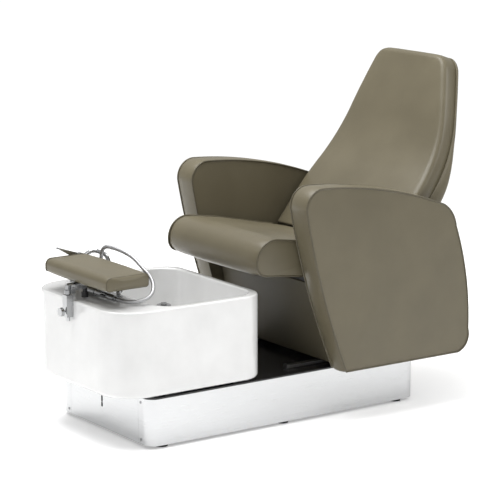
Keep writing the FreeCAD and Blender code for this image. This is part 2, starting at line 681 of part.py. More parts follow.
def back_shell():
    """The upholstered rear of the back: thin at the top, and a wedge that fills out behind its bend."""
    band = back_band(146, 56.2, 66, 2)
    bend_end = size("lower_length") + size("bend_radius") * bend
    low, high = back_point(146, 56.2), back_point(146, 112)
    thick, thin = back_point(size("lower_length"), 110), shell_point(bend_end)
    wedge = side_plate([low, shell_point(size("lower_length"), 56.4), shell_point(bend_end, 56.4), thin, thick, high],
                       0, 600, arcs={1: shell_point(size("lower_length") + size("bend_radius") * bend / 2, 56.4),
                                     3: shell_point(375, 84)}, midplane=True)
    return fuse(band, common(wedge, back_outline(2)))


keep(back_shell(), "back_shell")

pivot_y, pivot_z = size("pivot_y"), size("pivot_z")


def on_circle(radius, degrees):
    angle = math.radians(degrees)
    return pivot_y + radius * math.cos(angle), pivot_z + radius * math.sin(angle)


outer, inner = size("cover_radius"), size("cover_radius") - size("cover_wall")
COVER_END = size("lower_angle") + 3.3
cover = side_plate([on_circle(outer, -4), on_circle(outer, COVER_END), on_circle(inner, COVER_END),
                    on_circle(inner, -4)], 0,
                   "cover_half + cover_half", arcs={0: on_circle(outer, 20), 2: on_circle(inner, 20)}, midplane=True)
keep(cover, "back_lower_cover")

ARM_PLATE_X = 164


def hinge_arm(side):
    start = ARM_PLATE_X if side > 0 else -ARM_PLATE_X - 8
    corners = [back_point(-52, 89), back_point(-52, 46), back_point(4, 57.5), back_point(126, 57.5),
               back_point(126, 84)]
    web = side_plate(corners, start, 8, arcs={0: (pivot_y + 24 * -FORWARD[0], pivot_z - 24 * FORWARD[1])})
    flange = side_plate([back_point(20, 56), back_point(126, 56), back_point(126, 60), back_point(20, 60)],
                        start - 12, 32)
    bore = solid_rod("x", (start - 5, "pivot_y", "pivot_z"), "pin_radius + fit_gap", 20)
    return cut(fuse(web, flange), bore)


keep(both_sides(hinge_arm), "back_hinge_arms")
pins = [solid_rod("x", (x, "pivot_y", "pivot_z"), "pin_radius", 40) for x in (150, -190)]
keep(group(*pins), "recline_pins")
tube = cut(solid_rod("x", (-164, "pivot_y", "pivot_z"), 15, 328),
           solid_rod("x", (-170, "pivot_y", "pivot_z"), 10, 340))
keep(tube, "back_torque_tube")

CRANK_TILT = 10
crank_y, crank_z = on_circle(size("crank_length"), -90 + CRANK_TILT)
crank = fuse(solid_rod("x", (-6, "pivot_y", "pivot_z"), 26, 12), solid_rod("x", (-6, crank_y, crank_z), 13, 12),
             side_plate([on_circle(24, 190), on_circle(24, -10), (crank_y + 12, crank_z), (crank_y - 12, crank_z)],
                        0, 12, midplane=True))
crank = cut(crank, solid_rod("x", (-20, "pivot_y", "pivot_z"), 15.05, 40), solid_rod("x", (-20, crank_y, crank_z), 5.5, 40))
keep(crank, "recline_crank")

# The recline drive lies level at the crank pin's mean height, so its pin needs 1.4 mm of room round it.
ROD_Z = 360.5
fork = [solid_box(x, x + 4, "830", "866", ROD_Z - 9, ROD_Z + 9) for x in (-11, 7)]
fork.append(solid_box(-11, 11, 824, 831, ROD_Z - 9, ROD_Z + 9))
recline_rod = fuse(solid_rod("y", (0, 660, ROD_Z), 7, 166), *fork, solid_rod("x", (-11, crank_y, ROD_Z), 4, 22))
keep(recline_rod, "recline_rod")
drive_body = cut(fuse(solid_rod("y", (0, 640, ROD_Z), 15, 142), solid_box(-20, 20, 640, 700, 335, 376)),
                 solid_rod("y", (0, 630, ROD_Z), 7.06, 170))
keep(drive_body, "recline_drive")

# ---------------------------------------------------------------- checks and export

doc.recompute()
faults = [(obj.Name, obj.getStatusString()) for obj in doc.Objects if "Invalid" in obj.State or "Error" in obj.State]
if faults:
    raise RuntimeError(f"these objects failed: {faults}")
os.makedirs("parts", exist_ok=True)
for node in nodes:
    shape = node.Shape
    if shape.isNull() or not shape.isValid() or not shape.Solids:
        raise RuntimeError(f"{node.Label} has no valid solid")
    shape.exportStep(f"parts/{node.Label}.step")
print(len(nodes), "nodes")
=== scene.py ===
import json
import math

import bmesh
import bpy
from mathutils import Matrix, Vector, noise


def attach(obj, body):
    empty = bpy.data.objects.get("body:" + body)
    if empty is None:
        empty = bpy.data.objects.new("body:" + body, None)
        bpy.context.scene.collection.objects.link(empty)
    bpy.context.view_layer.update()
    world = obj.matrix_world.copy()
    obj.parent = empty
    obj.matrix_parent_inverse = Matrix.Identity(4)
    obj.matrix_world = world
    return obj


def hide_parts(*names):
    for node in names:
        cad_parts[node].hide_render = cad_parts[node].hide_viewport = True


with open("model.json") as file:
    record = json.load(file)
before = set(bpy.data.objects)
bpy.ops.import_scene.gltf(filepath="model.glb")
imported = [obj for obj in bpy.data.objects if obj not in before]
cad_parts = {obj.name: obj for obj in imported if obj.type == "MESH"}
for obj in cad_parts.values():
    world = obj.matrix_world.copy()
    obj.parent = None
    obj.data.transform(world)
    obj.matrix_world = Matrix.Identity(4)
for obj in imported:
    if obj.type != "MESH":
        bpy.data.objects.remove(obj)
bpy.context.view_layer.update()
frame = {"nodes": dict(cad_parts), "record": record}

# Pedicure spa chair. Metres, +Z up, the tub end towards -Y, the chair back towards +Y.
# Outlines are written in millimetres from the plinth's front plate and the floor, as in the CAD source.
MIDDLE_Y = 534.6
MM = 0.001


def at(x, y, z):
    """A point written in millimetres from the plinth's front plate, in the model's frame."""
    return Vector((x * MM, (y - MIDDLE_Y) * MM, z * MM))


# ---------------------------------------------------------------- camera


# The camera fitted to the straight edges of the plinth and the tub in the photo.
LENS_MM, SENSOR_MM = 161.6, 36
CAMERA_PLACE = (5.548, -3.348 - MIDDLE_Y * MM, 1.882)
CAMERA_AZIMUTH, CAMERA_DOWN = math.radians(55.035), math.radians(11.613)
NEAREST, FARTHEST = 0.1, 60


def make_camera():
    data = bpy.data.cameras.new("Camera")
    data.lens = LENS_MM
    data.sensor_width = SENSOR_MM
    data.clip_start = NEAREST
    data.clip_end = FARTHEST
    camera = bpy.data.objects.new("Camera", data)
    bpy.context.scene.collection.objects.link(camera)
    camera.location = CAMERA_PLACE
    camera.rotation_euler = (math.pi / 2 - CAMERA_DOWN, 0, CAMERA_AZIMUTH)
    bpy.context.scene.camera = camera


make_camera()

# ---------------------------------------------------------------- materials


def set_range(node, *values):
    """Sets a Map Range node's four limits."""
    for name, value in zip(("From Min", "From Max", "To Min", "To Max"), values):
        node.inputs[name].default_value = value


# The part of a noise texture's range that is used, as its values crowd near the middle.
NOISE_LOW, NOISE_HIGH = 0.3, 0.7


class Nodes:
    """A material's nodes, with short ways to add the few kinds used here."""

    def __init__(self, name):
        self.material = bpy.data.materials.new(name)
        self.material.use_nodes = True
        self.tree = self.material.node_tree
        self.shader = self.tree.nodes["Principled BSDF"]
        self.place = self.tree.nodes.new("ShaderNodeTexCoord").outputs["Object"]

    def add(self, kind, **values):
        node = self.tree.nodes.new(kind)
        for name, value in values.items():
            if hasattr(node, name):
                setattr(node, name, value)
            else:
                node.inputs[name.replace("_", " ").title()].default_value = value
        return node

    def link(self, source, target):
        self.tree.links.new(source, target)

    def set(self, **values):
        for name, value in values.items():
            self.shader.inputs[name.replace("_", " ")].default_value = value

    def noise(self, scale, detail=3, stretch=None):
        node = self.add("ShaderNodeTexNoise", Scale=scale, Detail=detail)
        self.link(self.stretched(stretch), node.inputs["Vector"])
        return node.outputs["Fac"]

    def stretched(self, stretch):
        if stretch is None:
            return self.place
        mapping = self.add("ShaderNodeMapping")
        mapping.inputs["Scale"].default_value = stretch
        self.link(self.place, mapping.inputs["Vector"])
        return mapping.outputs["Vector"]

    def cells(self, scale):
        node = self.add("ShaderNodeTexVoronoi", feature="DISTANCE_TO_EDGE", Scale=scale)
        self.link(self.place, node.inputs["Vector"])
        return node.outputs["Distance"]

    def spread(self, source, low, high):
        """A number between low and high, following a texture."""
        node = self.add("ShaderNodeMapRange")
        self.link(source, node.inputs["Value"])
        set_range(node, NOISE_LOW, NOISE_HIGH, low, high)
        return node.outputs["Result"]

    def mixed(self, source, dark, light):
        """A colour between two, following a texture."""
        node = self.add("ShaderNodeValToRGB")
        stops = node.color_ramp.elements
        for stop, position, colour in ((stops[0], NOISE_LOW, dark), (stops[1], NOISE_HIGH, light)):
            stop.position = position
            stop.color = (*colour, 1)
        self.link(source, node.inputs["Fac"])
        return node.outputs["Color"]

    def bump(self, height, strength, distance, after=None):
        node = self.add("ShaderNodeBump", Strength=strength, Distance=distance)
        self.link(height, node.inputs["Height"])
        if after is not None:
            self.link(after, node.inputs["Normal"])
        return node.outputs["Normal"]

    def use(self, colour=None, roughness=None, normal=None):
        for source, name in ((colour, "Base Color"), (roughness, "Roughness"), (normal, "Normal")):
            if source is not None:
                self.link(source, self.shader.inputs[name])
        return self.material


def toned(colour, factor):
    return tuple(min(1, part * factor) for part in colour)


def uneven(rough):
    """The two roughnesses that a slightly uneven finish varies between."""
    return rough - 0.03, rough + 0.04


def leather(name, colour, rough=(0.29, 0.38)):
    """Semi-gloss upholstery leather: pebbled grain, fine pores, soft creases and a slight mottle."""
    n = Nodes(name)
    mottle = n.noise(7, 4)
    grain = n.cells(620)
    pores = n.noise(1500, 2)
    creases = n.noise(28, 5)
    normal = n.bump(creases, 0.10, 0.004)
    normal = n.bump(grain, 0.22, 0.0006, normal)
    normal = n.bump(pores, 0.12, 0.0003, normal)
    n.set(IOR=1.47, Specular_IOR_Level=0.36)
    shade = n.mixed(mottle, toned(colour, 0.93), toned(colour, 1.07))
    return n.use(shade, n.spread(mottle, *rough), normal)


def polished(name, colour, rough_low, rough_high, wave=0.02):
    """Polished metal: faint smears in the roughness and a slight waviness in the sheet."""
    n = Nodes(name)
    smears = n.noise(14, 5)
    ripple = n.noise(5, 2)
    n.set(Metallic=1.0)
    return n.use(n.mixed(smears, toned(colour, 0.97), colour), n.spread(smears, rough_low, rough_high),
                 n.bump(ripple, wave, 0.01))


def brushed(name, colour, stretch, rough=0.32):
    """Metal with fine scratches along one direction."""
    n = Nodes(name)
    scratches = n.noise(1, 4, stretch)
    n.set(Metallic=1.0)
    return n.use(n.mixed(scratches, toned(colour, 0.93), colour), n.spread(scratches, *uneven(rough)),
                 n.bump(scratches, 0.04, 0.0003))


def moulded(name, colour, rough, grain_scale=900, grain_depth=0.1, coat=0.0):
    """Moulded plastic or paint: a fine orange peel or spark texture, and slightly uneven gloss."""
    n = Nodes(name)
    patches = n.noise(9, 3)
    peel = n.noise(grain_scale, 2)
    n.set(Coat_Weight=coat, Coat_Roughness=0.04)
    shade = n.mixed(patches, toned(colour, 0.95), toned(colour, 1.04))
    return n.use(shade, n.spread(patches, *uneven(rough)), n.bump(peel, grain_depth, 0.0004))


def stained_plywood(name):
    """Plywood with a black stain, its grain along X."""
    n = Nodes(name)
    grain = n.noise(1, 6, (6, 90, 90))
    shade = n.mixed(grain, (0.016, 0.015, 0.014), (0.035, 0.033, 0.03))
    return n.use(shade, n.spread(grain, 0.5, 0.7), n.bump(grain, 0.3, 0.0008))


TAUPE = (0.124, 0.108, 0.070)
LOOKS = {
    "leather": leather("taupe_leather", TAUPE),
    "polished_steel": brushed("brushed_sheet", (0.56, 0.565, 0.57), (14, 14, 900), 0.24),
    "chrome": polished("chrome", (0.44, 0.445, 0.45), 0.08, 0.14, 0.01),
    "zinc": brushed("zinc_plate", (0.33, 0.335, 0.34), (300, 12, 300)),
    "black_plate": moulded("black_enamel", (0.012, 0.012, 0.013), 0.22, 700, 0.06),
    "chassis_paint": moulded("dark_powder_coat", (0.05, 0.05, 0.053), 0.48, 1200, 0.3),
    "rubber": moulded("black_rubber", (0.02, 0.02, 0.02), 0.75, 1500, 0.4),
    "tub_white": moulded("white_acrylic", (0.68, 0.68, 0.675), 0.14, 120, 0.01, coat=0.6),
    "white_plastic": moulded("white_plastic", (0.8, 0.8, 0.79), 0.35, 900, 0.1),
    "grey_pipe": moulded("grey_pipe", (0.3, 0.31, 0.32), 0.4, 700, 0.1),
    "black_plastic": moulded("black_plastic", (0.018, 0.018, 0.019), 0.38, 1100, 0.25),
    "board": stained_plywood("black_plywood"),
}
HOSE_METAL = brushed("wound_hose_metal", (0.5, 0.5, 0.51), (60, 60, 60), 0.42)
# The kick panel is the same taupe leather, darkened to 0.7 as painted shade for the shadow under the seat that
# it sits in, and made rougher.
KICK_PANEL_PAINTED_SHADE_HIDE = leather("kick_panel_painted_shade_leather", toned(TAUPE, 0.7), rough=(0.5, 0.6))
# The piping is the same hide, toned down for the shade of the seam that it lies in.
PIPING = leather("piping_leather", toned(TAUPE, 0.72))

slot_of = {}
for part in frame["record"]["subparts"]:
    slot_of[part["node"]] = part["material_slot"]

# CAD parts whose edges are rounded a little for the light to catch: node name to radius in metres.
ROUNDED = {
    "footrest_clamp": 0.0012, "clamp_thumb_screw": 0.0012, "footrest_head": 0.0012, "footrest_bracket": 0.0008,
    "footrest_lock_knob": 0.0015, "mixer_body": 0.0015, "mixer_hub": 0.002, "mixer_lever": 0.0018,
    "hand_shower": 0.003, "hose_outlet": 0.0012, "standpipe_cap": 0.0015, "waste_fitting": 0.0008,
    "top_plate": 0.0008, "seat_frame_plates": 0.001, "seat_frame_crossbars": 0.002, "slide_blocks": 0.0015,
    "slide_drive": 0.0015, "recline_drive": 0.0015, "control_box": 0.002, "levelling_feet": 0.0015,
    "skirt_screws": 0.0005, "seat_board": 0.002, "recline_crank": 0.001, "back_hinge_arms": 0.001,
    "mains_inlet": 0.0015, "chassis_side_beams": 0.002, "chassis_cross_beams": 0.002, "slide_rails": 0.001,
}
ROUNDING_SEGMENTS = 3
SHARP_ANGLE = math.radians(35)
for node, obj in frame["nodes"].items():
    obj.data.materials.clear()
    obj.data.materials.append(LOOKS[slot_of[node]])
    if node in ROUNDED:
        bevel = obj.modifiers.new("Rounded edges", "BEVEL")
        bevel.width = ROUNDED[node]
        bevel.segments = ROUNDING_SEGMENTS
        bevel.limit_method = "ANGLE"
        bevel.angle_limit = SHARP_ANGLE

# ---------------------------------------------------------------- mesh helpers


def finish_piece(obj, body, slot, nodes=(), material=None, smooth=True):
    """Gives a piece its material, the CAD body that it rides on and the CAD nodes that it stands for."""
    obj.data.materials.append(material or LOOKS[slot])
    if smooth:
        obj.data.polygons.foreach_set("use_smooth", [True] * len(obj.data.polygons))
    if nodes:
        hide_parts(*nodes)
    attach(obj, body)
    return obj


def mesh_object(name, vertices, faces):
    mesh = bpy.data.meshes.new(name)
    mesh.from_pydata([tuple(v) for v in vertices], [], faces)
    mesh.validate()
    work = bmesh.new()
    work.from_mesh(mesh)
    bmesh.ops.recalc_face_normals(work, faces=work.faces)
    work.to_mesh(mesh)
    work.free()
    obj = bpy.data.objects.new(name, mesh)
    bpy.context.scene.collection.objects.link(obj)
    return obj


def rings_mesh(name, rings):
    """A closed skin through rings of the same number of points; each end closes on its middle point."""
    count = len(rings[0])
    vertices = [point for ring in rings for point in ring]
    faces = []
    for r in range(len(rings) - 1):
        for i in range(count):
            j = (i + 1) % count
            faces.append((r * count + i, r * count + j, (r + 1) * count + j, (r + 1) * count + i))
    for end in (0, len(rings) - 1):
        vertices.append(sum((Vector(p) for p in rings[end]), Vector()) / count)
        hub = len(vertices) - 1
        faces += [(end * count + i, end * count + (i + 1) % count, hub) for i in range(count)]
    return mesh_object(name, vertices, faces)


def circle_through(a, b, c):
    """The centre and radius of the circle through three points of a plane."""
    (ax, ay), (bx, by), (cx, cy) = a, b, c
    d = 2 * (ax * (by - cy) + bx * (cy - ay) + cx * (ay - by))
    a2, b2, c2 = ax * ax + ay * ay, bx * bx + by * by, cx * cx + cy * cy
    x = (a2 * (by - cy) + b2 * (cy - ay) + c2 * (ay - by)) / d
    y = (a2 * (cx - bx) + b2 * (ax - cx) + c2 * (bx - ax)) / d
    return (x, y), math.hypot(ax - x, ay - y)


def arc_points(a, b, c, step):
    """Points from a to c on the arc through b, without the last one."""
    (x, y), radius = circle_through(a, b, c)
    start = math.atan2(a[1] - y, a[0] - x)
    middle = math.atan2(b[1] - y, b[0] - x)
    end = math.atan2(c[1] - y, c[0] - x)
    turn = (end - start) % math.tau
    if (middle - start) % math.tau > turn:
        turn -= math.tau
    count = max(2, round(abs(turn) * radius / step))
    angles = [start + turn * k / count for k in range(count)]
    return [(x + radius * math.cos(angle), y + radius * math.sin(angle)) for angle in angles]


def line_points(a, b, step):
    count = max(1, round(math.dist(a, b) / step))
    return [(a[0] + (b[0] - a[0]) * k / count, a[1] + (b[1] - a[1]) * k / count) for k in range(count)]


def outline_points(corners, bulges, step):
    """A closed outline of lines and arcs, as points about a step apart."""
    points = []
    for i, corner in enumerate(corners):
        after = corners[(i + 1) % len(corners)]
        if i in bulges:
            points += arc_points(corner, bulges[i], after, step)
        else:
            points += line_points(corner, after, step)
    return points


def rounded_outline(corners, radii, step):
    """A closed outline of straight sides whose corners are rounded, each by its own radius."""
    points = []
    count = len(corners)
    for i in range(count):
        before, corner, after = Vector(corners[i - 1]), Vector(corners[i]), Vector(corners[(i + 1) % count])
        back, ahead = (before - corner).normalized(), (after - corner).normalized()
        half = back.angle(ahead) / 2
        reach = radii[i] / math.tan(half)
        first, last = corner + back * reach, corner + ahead * reach
        middle = corner + (back + ahead).normalized() * (radii[i] / math.sin(half) - radii[i])
        points += arc_points(tuple(first), tuple(middle), tuple(last), step)
        following = Vector(corners[(i + 1) % count])
        next_back = (corner - following).normalized()
        beyond = Vector(corners[(i + 2) % count])
        next_half = next_back.angle((beyond - following).normalized()) / 2
        stop = following + next_back * (radii[(i + 1) % count] / math.tan(next_half))
        points += line_points(tuple(last), tuple(stop), step)
    return points


def inward_normals(points):
    """Unit normals of a closed outline that point into it."""
    count = len(points)
    area = sum(points[i][0] * points[(i + 1) % count][1] - points[(i + 1) % count][0] * points[i][1]
               for i in range(count))
    turn = 1 if area > 0 else -1
    normals = []
    for i in range(count):
        (ax, ay), (bx, by) = points[i - 1], points[(i + 1) % count]
        tangent = Vector((bx - ax, by - ay)).normalized()
        normals.append(Vector((-tangent.y, tangent.x)) * turn)
    return normals


def piping(name, path, radius, body):
    """A round bead of hide-covered cord laid in a seam."""
    curve = bpy.data.curves.new(name, "CURVE")
    curve.dimensions = "3D"
    curve.bevel_depth = radius
    curve.bevel_resolution = 3
    spline = curve.splines.new("POLY")
    spline.points.add(len(path) - 1)
    for point, place in zip(spline.points, path):
        point.co = (*place, 1)
    spline.use_cyclic_u = True
    bead = bpy.data.objects.new(name, curve)
    bpy.context.scene.collection.objects.link(bead)
    mesh = bpy.data.meshes.new_from_object(bead)
    bpy.data.objects.remove(bead)
    obj = bpy.data.objects.new(name, mesh)
    bpy.context.scene.collection.objects.link(obj)
    return finish_piece(obj, body, "leather", material=PIPING)


def soften(obj, coarse, fine, depth):
    """Lets a stuffed skin sink a little, unevenly, by two scales of waves. The depth is in millimetres."""
    for vertex in obj.data.vertices:
        wave = noise.noise(Vector(vertex.co) * coarse) + 0.5 * noise.noise(Vector(vertex.co) * fine)
        vertex.co += vertex.normal * (-abs(wave) * depth * MM)


# Upholstery, in millimetres: how far the small folds beside a seam run, the spacing of the rows across a
# gusset, and the groove that the piping lies in.
GATHER_REACH = 26
ROW_SPACING = 14
HALF_GROOVE, GROOVE_DEPTH = 0.2, 1.2
# How quickly the folds follow one another, along a seam and across it.
FOLD_RATE, FOLD_RATE_ACROSS = 0.045, 0.012
# The rows of a crowned face, as shares of the way from its middle to its seam, and how square the crown is.
FACE_SHARES = (0.06, 0.2, 0.35, 0.5, 0.63, 0.74, 0.83, 0.9, 0.95, 0.98)
CROWN_POWER = 2.6


def upholstered(name, outline, x_low, x_high, body, nodes, crown=(6, 6), seam_dip=4, dip_reach=25, bead=3.2,
                rim_swell=2, softness=0.6, fill=0.9, flared=None, material=None, gathers=1.6):
    """A form drawn in the side view and stretched along X, with a crowned face at each end.

    A seam runs round each face, with piping of radius bead unless that is 0. The faces swell by crown (low
    side, high side). The gusset pulls in by seam_dip towards each seam, over dip_reach, and all of it stays
    inside the outline and the two X limits. gathers is how deep the hide's small folds are beside a seam.
    flared moves a point's X by its Y.
    """
    normals = inward_normals(outline)
    middle = (sum(p[0] for p in outline) / len(outline), sum(p[1] for p in outline) / len(outline))
    seams = (x_low + crown[0], x_high - crown[1])

    def ring(x, inset=0.0, share=1.0, pucker=0.0):
        places = []
        for (y, z), normal in zip(outline, normals):
            fold_place = Vector((y * FOLD_RATE, z * FOLD_RATE, x * FOLD_RATE_ACROSS))
            gather = pucker * abs(noise.noise(fold_place))
            y, z = y + normal.x * (inset + gather), z + normal.y * (inset + gather)
            y, z = middle[0] + (y - middle[0]) * share, middle[1] + (z - middle[1]) * share
            places.append(at(flared(x, y) if flared else x, y, z))
        return places

    def face(seam, swell):
        rows = []
        for share in FACE_SHARES:
            height = swell * (1 - share ** CROWN_POWER)
            rows.append(ring(seam + height, seam_dip * share, share))
        return rows

    rings = face(seams[0], -crown[0])
    gusset = seams[1] - seams[0]
    steps = max(14, round(gusset / ROW_SPACING))
    rings.append(ring(seams[0] - HALF_GROOVE, seam_dip + GROOVE_DEPTH))
    for k in range(steps + 1):
        # The rows crowd towards both seams, where the hide pulls in.
        share = 0.5 - 0.5 * math.cos(math.pi * k / steps)
        x = seams[0] + gusset * share
        near = min(x - seams[0], seams[1] - x)
        swell = rim_swell * (1 - (2 * share - 1) ** 2)
        inset = seam_dip * math.exp(-near / dip_reach * 2.5) + (rim_swell - swell)
        rings.append(ring(x, inset, pucker=gathers * math.exp(-near / GATHER_REACH)))
    rings.append(ring(seams[1] + HALF_GROOVE, seam_dip + GROOVE_DEPTH))
    rings += reversed(face(seams[1], crown[1]))
    obj = rings_mesh(name, rings)
    soften(obj, 9, 23, softness)
    finish_piece(obj, body, "leather", nodes, material)
    if bead:
        for side, x in (("low", seams[0]), ("high", seams[1])):
            path = ring(x, seam_dip + rim_swell * 0.5 + 0.3)
            piping(f"{name}_piping_{side}", path, bead * MM, body)
    return obj


# ---------------------------------------------------------------- shower hose

HOSE_ROUTE = [
    (44, 36, 434), (26, 65.5, 443), (-14, 88, 443), (-62, 94, 436), (-110, 92, 433), (-142, 88, 462),
    (-144, 82, 505), (-115, 78, 537), (-60, 76, 541), (-2, 74, 540), (56, 73, 533), (104, 72, 513),
    (142.5, 86.5, 480), (176, 67, 448), (186, 33.5, 433.5), (175, 2, 428), (148, -18, 428), (114, -18, 428),
]
HOSE_RADIUS = 5.7
WINDING_PITCH, WINDING_DEPTH = 0.0034, 0.0007
ROWS_PER_RING = 4
HOSE_SIDES = 14


def smooth_line(route):
    """Points along the smooth curve that a route's control points give."""
    curve = bpy.data.curves.new("Hose line", "CURVE")
    curve.dimensions = "3D"
    curve.resolution_u = 24
    spline = curve.splines.new("NURBS")
    spline.points.add(len(route) - 1)
    for point, place in zip(spline.points, route):
        point.co = (*at(*place), 1)
    spline.order_u = 3
    spline.use_endpoint_u = True
    holder = bpy.data.objects.new("Hose line", curve)
    bpy.context.scene.collection.objects.link(holder)
    mesh = bpy.data.meshes.new_from_object(holder)
    line = [vertex.co.copy() for vertex in mesh.vertices]
    bpy.data.objects.remove(holder)
    return line


def even_line(line, step):
    """The same line with its points one step apart."""
    places, left = [line[0]], step
    for a, b in zip(line, line[1:]):
        run = (b - a).length
        done = 0.0
        while run - done >= left:
            done += left
            places.append(a.lerp(b, done / run))
            left = step
        left -= run - done
    if (places[-1] - line[-1]).length > step * 0.4:
        places.append(line[-1])
    else:
        places[-1] = line[-1]
    return places


def wound_tube(name, line, radius, pitch, depth):
    """A tube with a row of raised rings, like a metal-wound hose."""
    places = even_line(line, pitch / ROWS_PER_RING)
    turns = [math.tau * k / HOSE_SIDES for k in range(HOSE_SIDES)]
    rings = []
    across = None
    for i, place in enumerate(places):
        ahead = (places[min(i + 1, len(places) - 1)] - places[max(i - 1, 0)]).normalized()
        if across is None:
            across = ahead.orthogonal().normalized()
        across = (across - ahead * across.dot(ahead)).normalized()
        up = ahead.cross(across)
        reach = radius - (depth if i % ROWS_PER_RING == 0 else 0)
        rings.append([place + (across * math.cos(turn) + up * math.sin(turn)) * reach for turn in turns])
    return rings_mesh(name, rings)


hose_line = smooth_line(HOSE_ROUTE)
hose = wound_tube("Shower_hose", hose_line, HOSE_RADIUS * MM, WINDING_PITCH, WINDING_DEPTH)
finish_piece(hose, "base", "chrome", ["shower_hose"], HOSE_METAL)
[tuple(p) for p in even_line(hose_line, 0.004)]

# ---------------------------------------------------------------- strip and rubber in the plinth's two slots


def block(name, low, high):
    """A plain box between two opposite corners."""
    corners = [at(x, y, z) for x in (low[0], high[0]) for y in (low[1], high[1]) for z in (low[2], high[2])]
    faces = [(0, 1, 3, 2), (4, 6, 7, 5), (0, 4, 5, 1), (2, 3, 7, 6), (0, 2, 6, 4), (1, 5, 7, 3)]
    return mesh_object(name, corners, faces)


finish_piece(block("Slot_dust_strip", (-22, 2.3, 70), (0, 3.3, 114)), "base", "black_plastic", smooth=False)
for low, high, name in ((90, 108, "upper"), (75, 88, "lower")):
    grommet = block(f"Slot_grommet_{name}", (-14.5, -0.6, low), (-7.5, 0, high))
    finish_piece(grommet, "base", "rubber", smooth=False)

# ---------------------------------------------------------------- arms

ARM_CORNERS = [(641, 157), (490, 664), (556, 734), (1014, 640), (1066, 564), (1121, 232), (1079, 157)]
ARM_BULGES = {0: (547, 425), 1: (508, 716), 2: (774, 709), 3: (1044, 615), 4: (1109, 400), 5: (1111, 177)}
ARM_INNER, ARM_OUTER = 256, 354
FLARE_START, FLARE = 500, 0.078


def spread(y):
    """How much further out the arms' inner faces are than at the front, at a distance back from the plinth."""
    return FLARE * max(0, y - FLARE_START)


def arm_flare(x, y):
    """The arm's inner face runs outward to the rear and its outer face runs straight."""
    share = (ARM_OUTER - abs(x)) / (ARM_OUTER - ARM_INNER)
    return x + math.copysign(spread(y) * share, x)


arm_outline = outline_points(ARM_CORNERS, ARM_BULGES, 6)
for side, name in ((1, "left"), (-1, "right")):
    low, high = sorted((side * ARM_INNER, side * ARM_OUTER))
    upholstered(f"Arm_{name}", arm_outline, low, high, "seat_carriage", [f"arm_{name}"], crown=(8, 8),
                seam_dip=3, dip_reach=30, bead=2.6, flared=arm_flare)

# ---------------------------------------------------------------- seat cushion, panels and footrest pad

SEAT_HALF = 248


def seat_flare(x, y):
    """The seat cushion widens to the rear as the space between the arms does."""
    return x * (1 + spread(y) / SEAT_HALF)


SEAT_CORNERS, SEAT_RADII = [(382, 461), (803, 415), (816, 507), (560, 563), (382, 589)], [44, 8, 8, 180, 72]
seat_outline = rounded_outline(SEAT_CORNERS, SEAT_RADII, 5)
upholstered("Seat_cushion", seat_outline, -SEAT_HALF, SEAT_HALF, "seat_carriage", ["seat_cushion"],
            crown=(8, 8), seam_dip=5, dip_reach=50, bead=3, rim_swell=4, softness=1.6, flared=seat_flare,
            gathers=3)

# The thin boards covered in hide: no piping and hardly any padding.
COVERED_BOARD = {"crown": (1.5, 1.5), "dip_reach": 12, "bead": 0, "rim_swell": 0.5, "fill": 0.95}
KICK_HALF, REAR_HALF = 262, 299.5
kick_outline = rounded_outline([(653, 168), (592.5, 419.4), (608.5, 419.4), (669, 168)], [3, 3, 3, 3], 6)
# The kick panel wears the leather darkened with painted shade.
upholstered("Kick_panel", kick_outline, -KICK_HALF, KICK_HALF, "seat_carriage", ["kick_panel"], seam_dip=1,
            softness=0.5, material=KICK_PANEL_PAINTED_SHADE_HIDE, **COVERED_BOARD)
rear_outline = rounded_outline([(1064, 168), (1080, 168), (1080, 450), (1064, 450)], [3, 3, 3, 3], 6)
upholstered("Rear_panel", rear_outline, -REAR_HALF, REAR_HALF, "seat_carriage", ["rear_panel"], seam_dip=1,
            softness=0.5, **COVERED_BOARD)

PAD_HALF = 184
pad_outline = rounded_outline([(-95, 466), (55, 466), (55, 512), (-95, 512)], [13, 12, 17, 22], 3)
upholstered("Footrest_pad", pad_outline, -PAD_HALF, PAD_HALF, "footrest_pad",
            ["footrest_cushion", "footrest_board"], crown=(11, 11), seam_dip=2.5, dip_reach=18, bead=1.6,
            softness=0.5)

# ---------------------------------------------------------------- back

BACK_START = (820, 510)
LOWER_ANGLE, LOWER_LENGTH = math.radians(49), 262
BEND_RADIUS, BEND = 500, math.radians(22.5)
UPPER_LENGTH = 203
BACK_LENGTH = LOWER_LENGTH + BEND_RADIUS * BEND + UPPER_LENGTH


def back_place(along, depth):
    """Y and Z of a point of the back: the distance up its front face, and the depth behind it."""
    y, z = BACK_START
    straight = min(along, LOWER_LENGTH)
    y += straight * math.cos(LOWER_ANGLE)
    z += straight * math.sin(LOWER_ANGLE)
    angle = LOWER_ANGLE
    if along > LOWER_LENGTH:
        turned = min((along - LOWER_LENGTH) / BEND_RADIUS, BEND)
        y += BEND_RADIUS * (math.sin(LOWER_ANGLE + turned) - math.sin(LOWER_ANGLE))
        z += BEND_RADIUS * (math.cos(LOWER_ANGLE) - math.cos(LOWER_ANGLE + turned))
        angle += turned
        rest = along - LOWER_LENGTH - BEND_RADIUS * turned
        y += max(0, rest) * math.cos(angle)
        z += max(0, rest) * math.sin(angle)
    return y + depth * math.sin(angle), z - depth * math.cos(angle)


SIDE_CENTRE, SIDE_RADIUS = circle_through((287, 650), (243, 850), (173, 1046))


# Half the back's width where it starts and at its widest, and the height of each.
START_HALF, START_HIGH = 275, 510
WIDEST_HALF, WIDEST_HIGH = 287, 650


def half_outline(z):
    """Half the back's width at a height: flared as the arms are, then a bowed taper."""
    if z <= WIDEST_HIGH:
        return START_HALF + (WIDEST_HALF - START_HALF) * max(0, z - START_HIGH) / (WIDEST_HIGH - START_HIGH)
    return SIDE_CENTRE[0] + math.sqrt(SIDE_RADIUS ** 2 - (z - SIDE_CENTRE[1]) ** 2)


